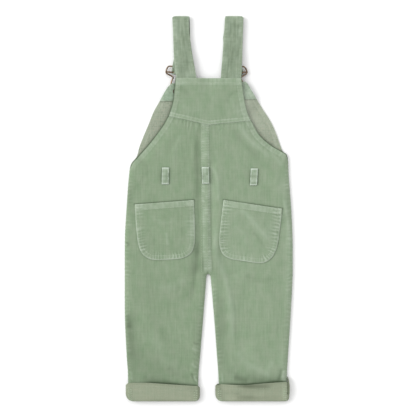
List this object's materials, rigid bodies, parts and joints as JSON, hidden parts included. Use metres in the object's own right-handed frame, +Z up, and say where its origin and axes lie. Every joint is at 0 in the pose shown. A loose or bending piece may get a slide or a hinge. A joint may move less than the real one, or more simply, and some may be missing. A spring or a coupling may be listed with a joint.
{
  "type": "toddler overalls",
  "caption": "Toddler dungarees in fine corduroy, laid flat with the back up: straps over to bib buckles, back yoke, patch pockets, belt loops and turned-up cuffs.",
  "frame": {"origin": "centre of the garment's bounding box, on the floor it lies on", "axes": "+Z up from the floor, +Y towards the shoulder end of the straps, -X towards the wearer's left"},
  "size_m": [0.2852, 0.6536, 0.0113],
  "materials": {
    "sage_corduroy": "matt fine-wale corduroy, right side",
    "sage_wrong_side": "matt plain wrong side of the corduroy",
    "sage_trim": "matt corduroy with edge stitching",
    "aged_brass": "antique brown brass, satin"
  },
  "bodies": {
    "root": {"back_left": "sage_corduroy", "back_right": "sage_corduroy", "back_yoke": "sage_corduroy", "belt_loop_centre": "sage_trim", "belt_loop_left": "sage_trim", "belt_loop_right": "sage_trim", "bib_facing": "sage_trim", "buckle_left": "aged_brass", "buckle_right": "aged_brass", "button_left": "aged_brass", "button_right": "aged_brass", "button_tack_left": "aged_brass", "button_tack_right": "aged_brass", "cuff_left": "sage_wrong_side", "cuff_right": "sage_wrong_side", "front_bib": "sage_wrong_side", "front_left": "sage_corduroy", "front_right": "sage_corduroy", "pocket_left": "sage_corduroy", "pocket_right": "sage_corduroy", "strap_left": "sage_trim", "strap_right": "sage_trim"}
  },
  "joints": []
}
